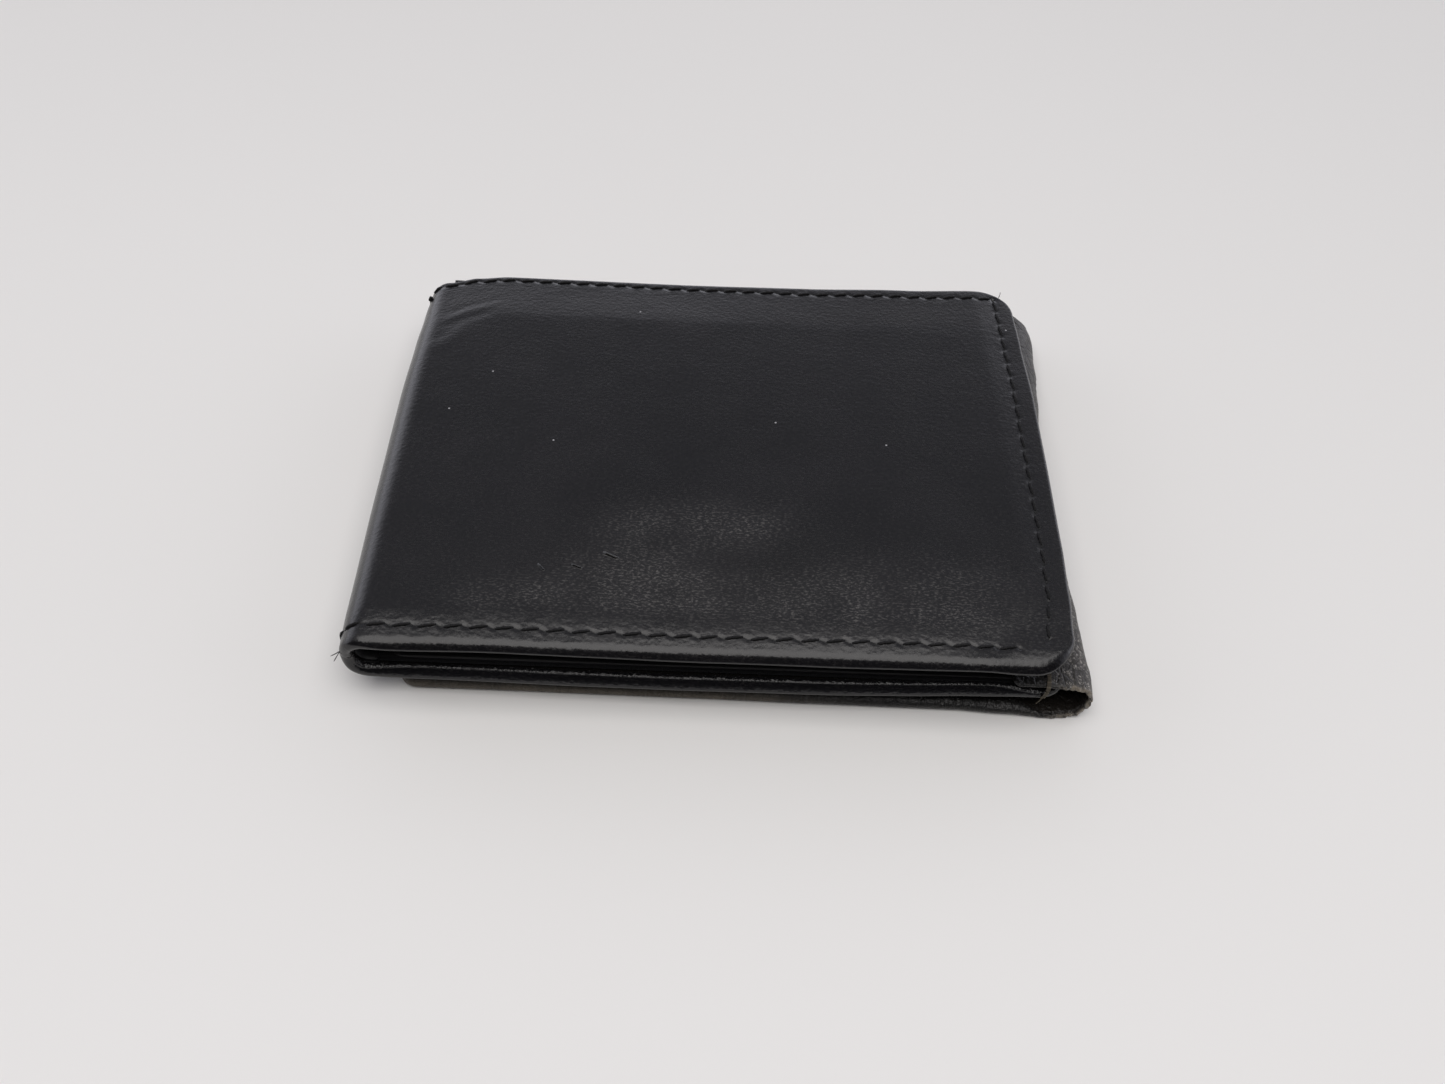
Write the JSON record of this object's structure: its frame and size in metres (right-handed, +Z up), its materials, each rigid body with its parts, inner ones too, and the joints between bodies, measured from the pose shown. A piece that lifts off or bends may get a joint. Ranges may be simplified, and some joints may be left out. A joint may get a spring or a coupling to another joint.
{
  "type": "bifold wallet",
  "caption": "Closed black leather bifold wallet with stitched rolled edges, inner card pockets, a bill compartment and a hinged ID flap folded underneath.",
  "frame": {"origin": "centre of the wallet's footprint, on the surface it lies on", "axes": "+X from the main fold to the leaves' free edges, +Y from the sewn bottom edge to the open top edge, +Z up through the closed wallet from the ID flap to the front leaf"},
  "size_m": [0.1158, 0.0874, 0.0135],
  "materials": {
    "leather": "black smooth full-grain leather, lightly worn, soft sheen",
    "inner_leather": "thin black skived leather, matte",
    "worn_leather": "black leather rubbed to grey-brown, cracked and dry",
    "lining": "black woven nylon lining",
    "board": "pressed fibre board, hidden inside",
    "thread": "twisted black polyester thread, waxed",
    "loose_thread": "faded, fuzzy grey-brown thread",
    "clear_vinyl": "clear flexible vinyl, slightly scuffed"
  },
  "bodies": {
    "back_leaf": {"back_outer_leather": "leather", "back_seam_thread": "thread", "back_stiffener_board": "board", "back_bill_lining": "lining", "back_panel_lining": "lining", "back_panel_leather": "inner_leather", "back_card_pocket_1": "inner_leather", "back_card_pocket_2": "inner_leather", "back_card_pocket_3": "inner_leather", "hinge_tab_leather": "worn_leather", "hinge_tab_thread": "thread", "hinge_bar_tack": "loose_thread"},
    "spine": {"spine_outer_leather": "leather", "spine_bill_lining": "lining", "spine_panel_lining": "lining", "spine_seam_thread_bottom": "thread", "spine_seam_thread_top": "thread"},
    "front_leaf": {"front_outer_leather": "leather", "front_seam_thread": "thread", "front_stiffener_board": "board", "front_bill_lining": "lining", "front_panel_lining": "lining", "front_panel_leather": "inner_leather", "front_card_pocket_1": "inner_leather", "front_card_pocket_2": "inner_leather", "front_card_pocket_3": "inner_leather"},
    "flap_fold": {"hinge_fold_leather": "worn_leather"},
    "id_flap": {"flap_face_leather": "worn_leather", "flap_seam_thread": "thread", "flap_id_window": "clear_vinyl", "flap_stiffener_board": "board", "flap_back_leather": "inner_leather", "flap_card_pocket": "inner_leather"}
  },
  "joints": [
    {"name": "spine_fold", "type": "hinge", "parent": "back_leaf", "child": "spine", "pos_m": [-0.05686, 0, 0.005], "axis": [0, -1, 0], "range_deg": [0, 90]},
    {"name": "front_leaf_fold", "type": "hinge", "parent": "spine", "child": "front_leaf", "pos_m": [-0.05686, 0, 0.012], "axis": [0, -1, 0], "range_deg": [0, 90]},
    {"name": "flap_hinge_fold", "type": "hinge", "parent": "back_leaf", "child": "flap_fold", "pos_m": [0.05704, 0, 0.00663], "axis": [0, -1, 0], "range_deg": [0, 90]},
    {"name": "id_flap_fold", "type": "hinge", "parent": "flap_fold", "child": "id_flap", "pos_m": [0.05704, 0, 0.00083], "axis": [0, -1, 0], "range_deg": [0, 90]}
  ],
  "couplings": [
    {"joint": "spine_fold", "follows": "front_leaf_fold", "ratio": 1},
    {"joint": "flap_hinge_fold", "follows": "id_flap_fold", "ratio": 1}
  ]
}
